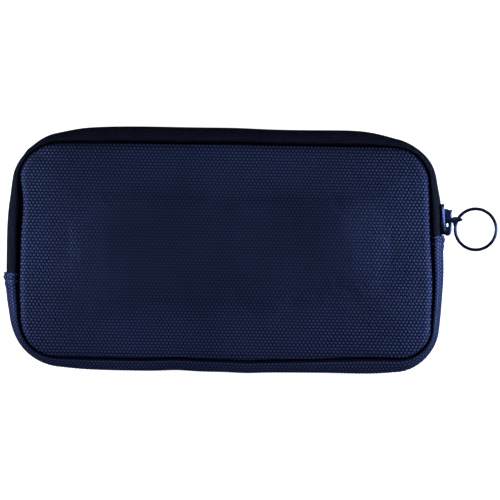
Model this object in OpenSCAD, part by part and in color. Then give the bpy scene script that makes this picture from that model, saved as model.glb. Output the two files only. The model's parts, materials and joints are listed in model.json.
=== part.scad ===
// Travel document organizer: a flat padded case with a zip round its top half.
// It lies on its back. +X is to the right, +Y to the closing side, +Z up through the front panel.
// The origin is the middle of the face that the case rests on. Sizes are in millimetres.

/* [Case] */
// Width of a padded panel from seam to seam
panel_w = 212.8; // [200:0.2:240]
// Height of a padded panel from seam to seam
panel_h = 113.6; // [104:0.2:130]
// Height of the middle of the closed case
thickness = 26; // [24:0.5:30]
// Radius of the two upper panel corners
corner_top = 13; // [12.5:0.5:20]
// Radius of the two lower panel corners
corner_bottom = 17.5; // [13:0.5:24]
// Distance between the front seam and the back seam
seam_gap = 15; // [14:0.5:17]
// How far the side band bulges beyond the seams
bulge = 5.8; // [5.8:0.1:6.6]

/* [Fabric] */
// Thickness of the raised outer fabric
skin = 1.2; // [0.8:0.1:1.4]
// Thickness of the lining
lining = 0.6; // [0.4:0.1:0.8]
// Thickness of the gusset strip
strip = 0.8; // [0.6:0.1:1]
// Width of the rounded border of a padded panel
border = 12; // [10:0.5:12]

/* [Opening] */
// Height of the line where the front flap folds back
fold_y = 10; // [8:0.5:12]
// Gap between the flap and the fixed part of the front
fold_gap = 0.3; // [0.2:0.1:0.6]
// Height of the right-hand end of the gusset strip
strip_end_right = 9.4; // [4:0.2:9.6]
// Height of the left-hand end of the gusset strip
strip_end_left = -15; // [-20:0.5:-8]
// Length of the turned-over hem at each end of the strip
hem = 5; // [4:0.5:7]

/* [Zip] */
// Thickness of the zip tape
tape = 0.7; // [0.5:0.1:0.8]
// Width of one coil
coil_w = 3.5; // [3:0.1:3.6]
// Thickness of the coils
coil_t = 3; // [2.6:0.1:3.2]
// Length of the slider
slider_l = 16; // [14:0.5:17]
// Width of the slider
slider_w = 10.4; // [10:0.2:11]
// How far the slider runs along its straight stretch
slider_travel = 17; // [8:0.5:17]

/* [Pull ring] */
// Outer diameter of the ring
ring_d = 23.1; // [20:0.1:26]
// Diameter of the ring's wire
wire_d = 1.7; // [1.4:0.1:1.8]
// Angle that the ring points below level
ring_droop = 27; // [20:1:30]

/* [Pockets] */
// Clear depth of the document pocket and of the passport pocket
pocket_depth = 4.9; // [4.6:0.1:5]
// Clear depth of one card slot
card_gap = 0.9; // [0.8:0.1:1]
// Inner diameter of the pen loop
pen_bore = 10; // [8:0.5:10.5]

/* [Hidden] */
$fn = 96;

half_w = panel_w / 2;
half_h = panel_h / 2;
mid_z = thickness / 2;

// The band is an arc in section: its outer radius and how far its centre lies from the seam
band_r = (pow(seam_gap / 2, 2) + pow(bulge, 2)) / (2 * bulge);
band_c = bulge - band_r;

// The panel's border is an arc that meets the flat middle without a corner
rise = mid_z - seam_gap / 2 - 0.3;
border_r = (border * border + rise * rise) / (2 * rise);
lining_z = rise + 0.9;
floor_z = lining_z + lining;

// The zip chain
overlap = 8;
chain_gap = 0.15;
parted_gap = 0.95;
coil_in = bulge - tape - coil_t;
lining_back = 3;
tape_end_right = strip_end_right - overlap;
tape_end_left = strip_end_left - overlap;
chain_end_right = fold_y - 0.4;
chain_end_left = strip_end_left + 5;

// The slider, with sizes across the band measured from the seam
slider_y = fold_y - 0.2;
plate = 1.2;
plate_gap = 0.4;
plate_out = bulge + plate_gap;
plate_in = coil_in - plate_gap;
flange = 0.8;
flange_t = 1;
post_l = 3.2;
post_w = 1.2;
crown_y = slider_y + 0.4;
crown_l = 13.6;
crown_w = 2.4;
crown_play = 0.8;
crown_foot = 2.1;
window = 3.4;
bar = 1.3;
parted_top = slider_y + slider_travel + post_l + 3;

// The puller link and the ring
link_wire = 0.8;
link_t = 1;
link_w = 5.2;
link_l = 7.7;
link_y = slider_y + 7.9;
link_x = half_w + plate_out + plate + window - crown_play;
ring_r = (ring_d - wire_d) / 2;
wire_x = link_x + 4.9;
ring_x = wire_x + ring_r * cos(ring_droop);
ring_y = link_y - ring_r * sin(ring_droop);

// The pockets, stacked from the back lining upwards
sheet = 0.6;
pocket_wall = 1;
document_pocket_w = 196;
document_pocket_y = [-50, 18];
document_pocket_z = floor_z + pocket_depth;
passport_x = [-92, 2];
passport_y = [-46, 12];
passport_base = document_pocket_z + sheet;
card_x = [14, 92];
card_low = -46;
card_tops = [8, -2, -12];
card_pitch = card_gap + sheet;
pen_x = [40, 62];
pen_y = 34;
pen_wall = 0.8;

navy = [0.10, 0.13, 0.22];
navy_dark = [0.05, 0.06, 0.11];
lining_grey = [0.20, 0.21, 0.25];
foam_white = [0.85, 0.85, 0.82];
coated_metal = [0.12, 0.15, 0.25];

// A panel's outline with its edge moved inwards
module outline(inset) {
  w = half_w - inset;
  h = half_h - inset;
  top = corner_top - inset;
  bottom = corner_bottom - inset;
  for (side = [-1, 1]) {
    translate([side * (w - top), h - top]) circle(top);
    translate([side * (w - bottom), bottom - h]) circle(bottom);
  }
  translate([top - w, 0]) square([2 * (w - top), h]);
  translate([-w, 0]) square([2 * w, h - top]);
  translate([bottom - w, -h]) square([2 * (w - bottom), h]);
  translate([-w, bottom - h]) square([2 * w, h - bottom]);
}

// The part of an outline between two heights
module outline_between(inset, low, high) {
  intersection() {
    outline(inset);
    translate([-half_w, low]) square([panel_w, high - low]);
  }
}

// A section drawn as (distance out from the seam, height), run along the right-hand side
module side_run(low, high) {
  translate([half_w, high, 0]) rotate([90, 0, 0]) linear_extrude(high - low) children();
}

module corner_run(radius) {
  translate([half_w - radius, half_h - radius, 0])
    rotate_extrude(angle = 90) translate([radius, 0]) children();
}

module end_run(radius) {
  translate([radius - half_w, half_h, 0])
    rotate([90, 0, 90]) linear_extrude(panel_w - 2 * radius) children();
}

// A section run up one side, round the end and down the other side
module round_end(radius, right, left) {
  side_run(right, half_h - radius) children();
  mirror([1, 0, 0]) side_run(left, half_h - radius) children();
  corner_run(radius) children();
  mirror([1, 0, 0]) corner_run(radius) children();
  end_run(radius) children();
}

module round_top(right, left) {
  round_end(corner_top, right, left) children();
}

module round_bottom(right, left) {
  mirror([0, 1, 0]) round_end(corner_bottom, -right, -left) children();
}

// Front parts are the back parts turned over
module as_front() {
  translate([0, 0, thickness]) mirror([0, 0, 1]) children();
}

// Section of the outer fabric's rounded border
module skin_section() {
  intersection() {
    difference() {
      translate([-border, border_r]) circle(border_r);
      translate([-border, border_r]) circle(border_r - skin);
    }
    translate([-border, 0]) square([border, lining_z]);
  }
}

// Section of the foam in the rounded border
module foam_section() {
  intersection() {
    translate([-border, border_r]) circle(border_r - skin);
    translate([-border, 0]) square([border, lining_z]);
  }
}

module panel_low() {
  linear_extrude(skin) outline_between(border, -half_h, fold_y - fold_gap / 2);
  round_bottom(fold_y - fold_gap / 2, fold_y - fold_gap / 2) skin_section();
}

module panel_high() {
  linear_extrude(skin) outline_between(border, fold_y + fold_gap / 2, half_h);
  round_top(fold_y + fold_gap / 2, fold_y + fold_gap / 2) skin_section();
}

module foam_low() {
  translate([0, 0, skin])
    linear_extrude(lining_z - skin) outline_between(border, -half_h, fold_y - fold_gap / 2);
  round_bottom(fold_y - fold_gap / 2, fold_y - fold_gap / 2) foam_section();
}

module foam_high() {
  translate([0, 0, skin])
    linear_extrude(lining_z - skin) outline_between(border, fold_y + fold_gap / 2, half_h);
  round_top(fold_y + fold_gap / 2, fold_y + fold_gap / 2) foam_section();
}

module lining_sheet(low, high) {
  translate([0, 0, lining_z]) linear_extrude(lining) outline_between(0, low, high);
}

module back_panel() {
  color(navy) {
    linear_extrude(skin) outline(border);
    round_top(0, 0) skin_section();
    round_bottom(0, 0) skin_section();
  }
}

module back_foam() {
  color(foam_white) {
    translate([0, 0, skin]) linear_extrude(lining_z - skin) outline(border);
    round_top(0, 0) foam_section();
    round_bottom(0, 0) foam_section();
  }
}

module back_lining() {
  color(lining_grey) lining_sheet(-half_h, half_h);
}

module front_panel_base() {
  color(navy) as_front() panel_low();
}

module front_foam_base() {
  color(foam_white) as_front() foam_low();
}

module front_lining_base() {
  color(lining_grey) as_front() lining_sheet(-half_h, fold_y - fold_gap / 2);
}

module front_panel_flap() {
  color(navy) as_front() panel_high();
}

module front_foam_flap() {
  color(foam_white) as_front() foam_high();
}

module front_lining_flap() {
  color(lining_grey) as_front() lining_sheet(fold_y + fold_gap / 2, half_h);
}

// Section of one layer of the side band, between two heights
module band_section(outer, inner, low, high) {
  intersection() {
    difference() {
      translate([band_c, mid_z]) circle(outer);
      translate([band_c, mid_z]) circle(inner);
    }
    translate([0, low]) square([2 * band_r, high - low]);
  }
}

module strip_section() {
  band_section(band_r + strip, band_r, 0, thickness);
}

module hem_section() {
  band_section(band_r + 2 * strip, band_r + strip, 0, thickness);
}

module gusset_strip() {
  color(navy) round_bottom(strip_end_right, strip_end_left) strip_section();
}

module strip_hem_right() {
  color(navy) side_run(strip_end_right - hem, strip_end_right) hem_section();
}

module strip_hem_left() {
  color(navy) mirror([1, 0, 0]) side_run(strip_end_left - hem, strip_end_left) hem_section();
}

module gusset_lining() {
  color(lining_grey) round_bottom(strip_end_right - lining_back, strip_end_left - lining_back)
    band_section(band_r - tape, band_r - tape - lining, 0, thickness);
}

module back_tape_section() {
  band_section(band_r, band_r - tape, 0, mid_z - parted_gap);
}

module front_tape_section() {
  band_section(band_r, band_r - tape, mid_z + parted_gap, thickness);
}

module zip_tape_back() {
  color(navy_dark) round_top(tape_end_right, tape_end_left) back_tape_section();
}

module zip_tape_flap() {
  color(navy_dark) round_top(fold_y + fold_gap / 2, fold_y + fold_gap / 2) front_tape_section();
}

module zip_tape_ends() {
  color(navy_dark) {
    side_run(tape_end_right, fold_y - fold_gap / 2) front_tape_section();
    mirror([1, 0, 0]) side_run(tape_end_left, fold_y - fold_gap / 2) front_tape_section();
  }
}

// Section of the front coil, its hooks this far from the middle of the chain
module coil_section(gap) {
  intersection() {
    translate([band_c, mid_z]) circle(band_r - tape);
    translate([coil_in, mid_z + gap]) square([2 * coil_t, coil_w - gap]);
  }
}

// The coil round the top: parted where the slider's post runs, closed beyond it
module coil_run(right, left) {
  side_run(right, parted_top) coil_section(parted_gap);
  round_top(parted_top, left) coil_section(chain_gap);
}

module zip_coil_back() {
  color(navy_dark) as_front() coil_run(chain_end_right, chain_end_left);
}

module zip_coil_flap() {
  color(navy_dark) coil_run(slider_y + slider_l + 1, fold_y + fold_gap / 2);
}

module zip_coil_end() {
  color(navy_dark) mirror([1, 0, 0])
    side_run(chain_end_left, fold_y - fold_gap / 2) coil_section(chain_gap);
}

module stop_block(low, high) {
  translate([half_w + coil_in, low, mid_z - 2.6]) cube([2.2, high - low, 5.2]);
}

module top_stop() {
  color(coated_metal) stop_block(chain_end_right - 2.2, chain_end_right - 0.2);
}

module bottom_stop() {
  color(coated_metal) mirror([1, 0, 0]) stop_block(chain_end_left - 2.4, chain_end_left - 0.2);
}

// A pocket with a flat front, two side walls and a bottom wall, open towards +Y
module pocket(x, y, base) {
  translate([x[0], y[0], base + pocket_depth]) cube([x[1] - x[0], y[1] - y[0], sheet]);
  for (edge = [x[0], x[1] - pocket_wall])
    translate([edge, y[0], base]) cube([pocket_wall, y[1] - y[0], pocket_depth]);
  translate([x[0], y[0], base]) cube([x[1] - x[0], pocket_wall, pocket_depth]);
}

module document_pocket() {
  color(lining_grey)
    pocket([-document_pocket_w / 2, document_pocket_w / 2], document_pocket_y, floor_z);
}

module passport_pocket() {
  color(lining_grey) pocket(passport_x, passport_y, passport_base);
}

// The sheet of one card slot, counted from the back one
module card_sheet(index) {
  color(lining_grey)
    translate([card_x[0], card_low, passport_base + card_gap + index * card_pitch])
      cube([card_x[1] - card_x[0], card_tops[index] - card_low, sheet]);
}

// The binding that closes the slots along the bottom and both sides
module card_binding() {
  tall = 3 * card_pitch;
  color(navy_dark) translate([0, 0, passport_base]) {
    for (edge = [card_x[0] - pocket_wall, card_x[1]])
      translate([edge, card_low - pocket_wall, 0])
        cube([pocket_wall, card_tops[0] - card_low + pocket_wall, tall]);
    translate([card_x[0], card_low - pocket_wall, 0])
      cube([card_x[1] - card_x[0], pocket_wall, tall]);
  }
}

// A tube of elastic for one pen
module pen_loop() {
  outer = pen_bore / 2 + pen_wall;
  color(navy_dark) translate([pen_x[0], pen_y, floor_z + outer])
    rotate([90, 0, 90]) linear_extrude(pen_x[1] - pen_x[0])
      difference() {
        circle(outer);
        circle(pen_bore / 2);
      }
}

// One casting: outer plate with its crown, inner plate with its flanges, and the post between
module slider() {
  color(coated_metal) translate([half_w, slider_y, mid_z]) {
    slider_plates();
    translate([0, crown_y - slider_y, 0]) crown();
  }
}

module slider_plates() {
  for (face = [plate_out, plate_in - plate])
    translate([face, 0, 0]) rotate([90, 0, 90]) linear_extrude(plate) plate_outline();
  for (side = [-1, 1])
    translate([plate_in, 2.5, side * (slider_w / 2 - flange_t / 2) - flange_t / 2])
      cube([flange, slider_l - 5, flange_t]);
  translate([plate_in, 0.6, -post_w / 2])
    cube([plate_out - plate_in, post_l, post_w]);
}

// A plate with rounded corners
module plate_outline() {
  nose = 2;
  for (side = [-1, 1]) {
    translate([nose, side * (slider_w / 2 - nose)]) circle(nose);
    translate([slider_l - nose, side * (slider_w / 2 - nose)]) circle(nose);
  }
  translate([nose, -slider_w / 2]) square([slider_l - 2 * nose, slider_w]);
  translate([0, nose - slider_w / 2]) square([slider_l, slider_w - 2 * nose]);
}

// The bridge that holds the puller link
module crown() {
  base = plate_out + plate;
  for (foot = [0, crown_l - crown_foot])
    translate([base, foot, -crown_w / 2]) cube([window, crown_foot, crown_w]);
  translate([base + window, 0, -crown_w / 2]) cube([bar, crown_l, crown_w]);
}

// A flat link: one end lies in the crown's window, the ring hangs in the other
module puller() {
  color(coated_metal) translate([link_x, link_y, mid_z])
    rotate([90, 0, 0]) linear_extrude(link_t, center = true)
      difference() {
        translate([-link_wire / 2, -link_w / 2]) square([link_l, link_w]);
        translate([link_wire / 2, link_wire - link_w / 2])
          square([link_l - 2 * link_wire, link_w - 2 * link_wire]);
      }
}

module pull_ring() {
  color(coated_metal) translate([ring_x, ring_y, mid_z])
    rotate_extrude() translate([ring_r, 0]) circle(wire_d / 2);
}

back_panel();
back_foam();
back_lining();
front_panel_base();
front_foam_base();
front_lining_base();
front_panel_flap();
front_foam_flap();
front_lining_flap();
gusset_strip();
gusset_lining();
strip_hem_right();
strip_hem_left();
zip_tape_back();
zip_tape_flap();
zip_tape_ends();
zip_coil_back();
zip_coil_flap();
zip_coil_end();
top_stop();
bottom_stop();
document_pocket();
passport_pocket();
card_sheet(0);  // card_slot_high
card_sheet(1);  // card_slot_middle
card_sheet(2);  // card_slot_low
card_binding();
pen_loop();
slider();
puller();
pull_ring();
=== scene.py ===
import json
import math

import bmesh
import bpy
import numpy as np
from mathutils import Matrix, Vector
from mathutils.bvhtree import BVHTree
from mathutils.kdtree import KDTree


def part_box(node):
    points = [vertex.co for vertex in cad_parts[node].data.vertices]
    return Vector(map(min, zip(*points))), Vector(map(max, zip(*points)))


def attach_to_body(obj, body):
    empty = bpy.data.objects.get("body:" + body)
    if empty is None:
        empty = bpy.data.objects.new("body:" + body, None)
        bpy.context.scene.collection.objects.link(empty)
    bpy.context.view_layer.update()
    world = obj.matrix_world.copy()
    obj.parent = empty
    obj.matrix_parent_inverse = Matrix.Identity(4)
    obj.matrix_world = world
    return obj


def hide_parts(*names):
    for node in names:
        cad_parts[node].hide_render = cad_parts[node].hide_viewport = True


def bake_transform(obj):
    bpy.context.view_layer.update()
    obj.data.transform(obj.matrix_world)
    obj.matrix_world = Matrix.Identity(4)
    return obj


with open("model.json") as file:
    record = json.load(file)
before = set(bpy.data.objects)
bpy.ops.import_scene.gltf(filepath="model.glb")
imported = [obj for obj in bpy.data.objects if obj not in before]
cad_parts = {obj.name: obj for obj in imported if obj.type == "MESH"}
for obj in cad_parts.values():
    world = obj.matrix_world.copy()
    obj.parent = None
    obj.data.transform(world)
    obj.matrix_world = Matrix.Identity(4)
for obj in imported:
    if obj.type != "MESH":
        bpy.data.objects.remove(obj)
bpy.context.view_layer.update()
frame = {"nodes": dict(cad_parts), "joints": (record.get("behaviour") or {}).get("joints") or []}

print("frame loaded")

# places that the soft pieces are worked out from
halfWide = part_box("back_panel")[1].x
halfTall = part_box("back_panel")[1].y
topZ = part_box("front_panel_base")[1].z
midZ = topZ / 2
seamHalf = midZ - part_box("zip_tape_back")[0].z
sliderLow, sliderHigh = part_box("slider")
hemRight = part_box("strip_hem_right")[1].y
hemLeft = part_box("strip_hem_left")[1].y + 0.0019
jointPlace = {j["name"]: Vector(j.get("pos_m", (0, 0, 0))) for j in frame["joints"]}


def newObject(name, data):
    made = bpy.data.objects.new(name, data)
    bpy.context.scene.collection.objects.link(made)
    return made


def attach(piece, slotName, body, *nodes):
    # a piece on "fold" only has its transform baked and is parented to no body
    if body == "fold":
        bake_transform(piece)
    else:
        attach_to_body(piece, body)
    if nodes:
        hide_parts(*nodes)


# camera, light and floor

view = {"aim": (0.01307, 0.0002, midZ), "distance": 1.187, "width": 0.26135, "roll": 0.9}
studio = {"world": 0.10, "left": 4.1, "right": 5.3, "above": 1.85, "front": 0.3,
          "leftTint": (0.80, 0.90, 1.0), "rightTint": (0.75, 0.88, 1.0), "aboveTint": (1.0, 0.93, 0.87),
          "floor": (0.3, 0.3, 0.3, 1), "floorGlow": 0.97}


def makeCamera():
    camera = newObject("camera", bpy.data.cameras.new("camera"))
    camera.location = Vector(view["aim"]) + Vector((0, 0, view["distance"]))
    camera.rotation_euler = (0, 0, math.radians(view["roll"]))
    camera.data.sensor_width = 36
    camera.data.lens = 36 * view["distance"] / view["width"]
    bpy.context.scene.camera = camera


def makeLight(name, place, size, power, tint=(1, 1, 1)):
    light = bpy.data.lights.new(name, "AREA")
    light.color = tint
    light.shape = "RECTANGLE"
    light.size, light.size_y = size
    light.energy = power
    lamp = newObject(name, light)
    lamp.location = place
    lamp.rotation_euler = (Vector((0, 0, 0.01)) - Vector(place)).to_track_quat("-Z", "Y").to_euler()


def makeStudio():
    world = bpy.data.worlds.new("studio")
    world.use_nodes = True
    world.node_tree.nodes["Background"].inputs["Color"].default_value = (1, 1, 1, 1)
    world.node_tree.nodes["Background"].inputs["Strength"].default_value = studio["world"]
    bpy.context.scene.world = world
    bpy.context.scene.view_settings.view_transform = "Standard"
    makeLight("leftSoftbox", (-0.40, 0.01, 0.13), (0.16, 0.34), studio["left"], studio["leftTint"])
    makeLight("rightSoftbox", (0.40, 0.01, 0.13), (0.16, 0.34), studio["right"], studio["rightTint"])
    makeLight("frontSoftbox", (0, -0.45, 0.12), (0.5, 0.10), studio["front"])
    makeLight("topSoftbox", (0, 0.30, 1.4), (0.7, 0.5), studio["above"], studio["aboveTint"])
    floorMesh = bpy.data.meshes.new("floor")
    floorMesh.from_pydata([(-3, -3, 0), (3, -3, 0), (3, 3, 0), (-3, 3, 0)], [], [(0, 1, 2, 3)])
    floor = newObject("floor", floorMesh)
    paint = bpy.data.materials.new("floorPaint")
    paint.use_nodes = True
    shader = paint.node_tree.nodes["Principled BSDF"]
    shader.inputs["Base Color"].default_value = studio["floor"]
    shader.inputs["Roughness"].default_value = 0.9
    shader.inputs["Specular IOR Level"].default_value = 0.1
    shader.inputs["Emission Color"].default_value = (1, 1, 1, 1)
    shader.inputs["Emission Strength"].default_value = studio["floorGlow"]
    floorMesh.materials.append(paint)


makeCamera()
makeStudio()
print("camera and studio")


# materials

darkSheen = (0.05, 0.07, 0.16, 1)  # how dark the cloths turn when seen along their surface
threadsToScale = 0.314  # a wave texture's scale for one thread in a metre


def newMaterial(name, roughness, specular, metallic=0.0):
    material = bpy.data.materials.new(name)
    material.use_nodes = True
    shader = material.node_tree.nodes["Principled BSDF"]
    shader.inputs["Roughness"].default_value = roughness
    shader.inputs["Specular IOR Level"].default_value = specular
    shader.inputs["Metallic"].default_value = metallic
    return material, material.node_tree.nodes, material.node_tree.links, shader


def addNode(nodes, kind, **settings):
    node = nodes.new(kind)
    for key, value in settings.items():
        if key in node.inputs:
            node.inputs[key].default_value = value
        else:
            setattr(node, key, value)
    return node


def addNoise(nodes, links, scale, detail):
    place = nodes.new("ShaderNodeTexCoord")
    noise = addNode(nodes, "ShaderNodeTexNoise", Scale=scale, Detail=detail)
    links.new(place.outputs["Object"], noise.inputs["Vector"])
    return noise.outputs["Fac"]


def addRamp(nodes, links, factor, stops):
    ramp = nodes.new("ShaderNodeValToRGB")
    ends = ramp.color_ramp.elements
    ends[0].position, ends[0].color = stops[0]
    ends[1].position, ends[1].color = stops[-1]
    for place, color in stops[1:-1]:
        ramp.color_ramp.elements.new(place).color = color
    links.new(factor, ramp.inputs["Fac"])
    return ramp.outputs["Color"]


def addBump(nodes, links, height, shader, strength, deep=0.0002):
    bump = addNode(nodes, "ShaderNodeBump", Strength=strength, Distance=deep)
    links.new(height, bump.inputs["Height"])
    links.new(bump.outputs["Normal"], shader.inputs["Normal"])


# near black painted into the seam groove as shade
paintedGrooveShade = (0.0004, 0.0005, 0.0011, 1)


def paintGrooveShade(nodes, links, color, shader):
    # painted shade: the attribute "open" is 0 down in the seam groove, where the colour is painted near black
    # as shade, and 1 outside it
    outsideGrooveShade = addNode(nodes, "ShaderNodeAttribute", attribute_name="open")
    deep = addNode(nodes, "ShaderNodeMix", data_type="RGBA")
    deep.inputs["A"].default_value = paintedGrooveShade
    links.new(outsideGrooveShade.outputs["Fac"], deep.inputs["Factor"])
    links.new(color, deep.inputs["B"])
    links.new(deep.outputs["Result"], shader.inputs["Base Color"])


nubFinish = {
    "rough": 0.48, "metal": 0.4, "patchScale": 28.0, "yarnScale": 2600.0, "yarnBump": 0.35,
    # painted shade: from the gaps between the nubs, painted almost black as shade, to the nub tops
    "tones": [(0.0, (0.0011, 0.0015, 0.0042, 1)), (0.45, (0.0070, 0.0095, 0.0250, 1)),
              (1.0, (0.0215, 0.0292, 0.0725, 1))],
    "patches": [(0.3, (0.86, 0.86, 0.86, 1)), (0.7, (1.12, 1.12, 1.12, 1))],
}


def nubFabric():
    # raised nubs carry the colour; the gaps between them are painted almost black as shade
    look = nubFinish
    material, nodes, links, shader = newMaterial("nubFabric", look["rough"], 0.0, look["metal"])
    shader.inputs["Specular Tint"].default_value = darkSheen
    reliefAndShade = addNode(nodes, "ShaderNodeAttribute", attribute_name="reliefAndShade")
    color = addRamp(nodes, links, reliefAndShade.outputs["Fac"], look["tones"])
    tone = addRamp(nodes, links, addNoise(nodes, links, look["patchScale"], 3.0), look["patches"])
    mixed = addNode(nodes, "ShaderNodeMix", data_type="RGBA", blend_type="MULTIPLY")
    mixed.inputs["Factor"].default_value = 1.0
    links.new(color, mixed.inputs["A"])
    links.new(tone, mixed.inputs["B"])
    paintGrooveShade(nodes, links, mixed.outputs["Result"], shader)
    addBump(nodes, links, addNoise(nodes, links, look["yarnScale"], 2.0), shader, look["yarnBump"])
    return material


# threads in a metre along the cloth's own map, and ribs as a share of that across it;
# low and high are where the dark and the light tone begin on the mixed weave and mottle
tapeFinish = {"dark": (0.0004, 0.0006, 0.0014, 1), "light": (0.0096, 0.0114, 0.0212, 1), "threads": 3100,
              "rough": 0.7, "bump": 0.4, "ribs": 0.45, "mottle": 1.0, "low": 0.55, "high": 0.95}
liningFinish = {"dark": (0.010, 0.012, 0.024, 1), "light": (0.032, 0.037, 0.066, 1), "threads": 1300,
                "rough": 0.6, "bump": 0.4, "ribs": 1.0, "mottle": 0.35, "low": 0.1, "high": 1.0}
elasticFinish = {"dark": (0.004, 0.005, 0.010, 1), "light": (0.016, 0.019, 0.034, 1), "threads": 900,
                 "rough": 0.7, "bump": 0.8, "ribs": 0.2, "mottle": 0.35, "low": 0.1, "high": 1.0}


def wovenCloth(name, look, withPaintedGrooveShade=False):
    material, nodes, links, shader = newMaterial(name, look["rough"], 0.0, 0.25)
    shader.inputs["Specular Tint"].default_value = darkSheen
    place = addNode(nodes, "ShaderNodeUVMap", uv_map="cloth")
    both = addNode(nodes, "ShaderNodeMath", operation="MULTIPLY")
    scale = look["threads"] * threadsToScale
    for k, (way, share) in enumerate((("X", 1), ("Y", look["ribs"]))):
        wave = addNode(nodes, "ShaderNodeTexWave", wave_type="BANDS", bands_direction=way,
                       Scale=scale * share, Distortion=0.6)
        wave.inputs["Detail Scale"].default_value = 1.5
        links.new(place.outputs["UV"], wave.inputs["Vector"])
        links.new(wave.outputs["Fac"], both.inputs[k])
    mixed = addNode(nodes, "ShaderNodeMath", operation="MULTIPLY_ADD")
    mixed.inputs[1].default_value = look["mottle"]
    links.new(addNoise(nodes, links, 700.0, 5.0), mixed.inputs[0])
    links.new(both.outputs["Value"], mixed.inputs[2])
    tones = [(look["low"], look["dark"]), (look["high"], look["light"])]
    color = addRamp(nodes, links, mixed.outputs["Value"], tones)
    # painted shade: the tape's colour turns near black down in the seam groove
    if withPaintedGrooveShade:
        paintGrooveShade(nodes, links, color, shader)
    else:
        links.new(color, shader.inputs["Base Color"])
    addBump(nodes, links, both.outputs["Value"], shader, look["bump"])
    return material


metalFinish = {
    "grainScale": 900.0, "wearScale": 240.0, "grainBump": 0.12, "grainDeep": 0.0001,
    "rim": (0.10, 0.14, 0.30, 1),
    "tones": [(0.35, (0.006, 0.009, 0.028, 1)), (0.62, (0.012, 0.018, 0.052, 1)),
              (0.8, (0.05, 0.07, 0.15, 1))],
    "gloss": [(0.3, (0.22, 0.22, 0.22, 1)), (0.75, (0.38, 0.38, 0.38, 1))],
}


def coatedMetal():
    look = metalFinish
    material, nodes, links, shader = newMaterial("coatedMetal", 0.3, 0.5, 1.0)
    shader.inputs["Specular Tint"].default_value = look["rim"]
    grain = addNoise(nodes, links, look["grainScale"], 4.0)
    wear = addNoise(nodes, links, look["wearScale"], 6.0)
    links.new(addRamp(nodes, links, wear, look["tones"]), shader.inputs["Base Color"])
    links.new(addRamp(nodes, links, grain, look["gloss"]), shader.inputs["Roughness"])
    addBump(nodes, links, grain, shader, look["grainBump"], look["grainDeep"])
    return material


coilTones = [(0.3, (0.006, 0.008, 0.02, 1)), (0.7, (0.012, 0.016, 0.036, 1))]


def nylonCoil():
    material, nodes, links, shader = newMaterial("nylonCoil", 0.4, 0.25)
    cloud = addNoise(nodes, links, 300.0, 2.0)
    links.new(addRamp(nodes, links, cloud, coilTones), shader.inputs["Base Color"])
    return material


def sewingThread(name, dark, light):
    material, nodes, links, shader = newMaterial(name, 0.6, 0.05)
    place = addNode(nodes, "ShaderNodeTexCoord")
    twist = addNode(nodes, "ShaderNodeTexWave", wave_type="BANDS", bands_direction="DIAGONAL", Scale=900.0)
    links.new(place.outputs["Object"], twist.inputs["Vector"])
    color = addRamp(nodes, links, twist.outputs["Fac"], [(0.0, dark), (1.0, light)])
    links.new(color, shader.inputs["Base Color"])
    addBump(nodes, links, twist.outputs["Fac"], shader, 0.5, 0.0001)
    return material


outerFabric = nubFabric()
tapeCloth = wovenCloth("tapeCloth", tapeFinish, withPaintedGrooveShade=True)
liningCloth = wovenCloth("liningCloth", liningFinish)
elasticCloth = wovenCloth("elasticCloth", elasticFinish)
metalCoat = coatedMetal()
coilNylon = nylonCoil()
thread = sewingThread("sewingThread", (0.004, 0.006, 0.017, 1), (0.012, 0.017, 0.045, 1))
hemThread = sewingThread("hemThread", (0.020, 0.028, 0.070, 1), (0.075, 0.100, 0.230, 1))
print("materials")


# mesh helpers

def makeMesh(name, points, faces, material):
    points = np.asarray(points, np.float32)
    faces = np.asarray(faces, np.int32)
    mesh = bpy.data.meshes.new(name)
    mesh.vertices.add(len(points))
    mesh.vertices.foreach_set("co", points.ravel())
    corners = faces.shape[1]
    mesh.loops.add(faces.size)
    mesh.loops.foreach_set("vertex_index", faces.ravel())
    mesh.polygons.add(len(faces))
    mesh.polygons.foreach_set("loop_start", np.arange(len(faces), dtype=np.int32) * corners)
    mesh.polygons.foreach_set("use_smooth", np.full(len(faces), True))
    mesh.update(calc_edges=True)
    mesh.validate()
    mesh.materials.append(material)
    return newObject(name, mesh)


def addAttribute(made, name, values):
    attribute = made.data.attributes.new(name, "FLOAT", "POINT")
    attribute.data.foreach_set("value", np.asarray(values, np.float32))


def addMap(made, coordinates):
    # coordinates has one (along, across) pair in metres for each vertex
    layer = made.data.uv_layers.new(name="cloth")
    index = np.zeros(len(made.data.loops), np.int32)
    made.data.loops.foreach_get("vertex_index", index)
    layer.data.foreach_set("uv", np.asarray(coordinates, np.float32)[index].ravel())


def bake(made):
    # replaces the object's mesh by what its modifiers make of it
    bpy.context.view_layer.update()
    evaluated = made.evaluated_get(bpy.context.evaluated_depsgraph_get())
    mesh = bpy.data.meshes.new_from_object(evaluated)
    made.modifiers.clear()
    made.data = mesh
    return made


def thicken(made, amount):
    wall = made.modifiers.new("wall", "SOLIDIFY")
    wall.thickness = amount
    wall.offset = -1
    return bake(made)


def gridFaces(rows, columns):
    index = np.arange(rows * columns).reshape(rows, columns)
    quads = [index[:-1, :-1], index[:-1, 1:], index[1:, 1:], index[1:, :-1]]
    return np.stack([q.ravel() for q in quads], 1)


def smoothStep(value, low, high):
    t = np.clip((np.asarray(value, float) - low) / (high - low), 0, 1)
    return t * t * (3 - 2 * t)


# the seam line, which the panels and the side band share

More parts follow.
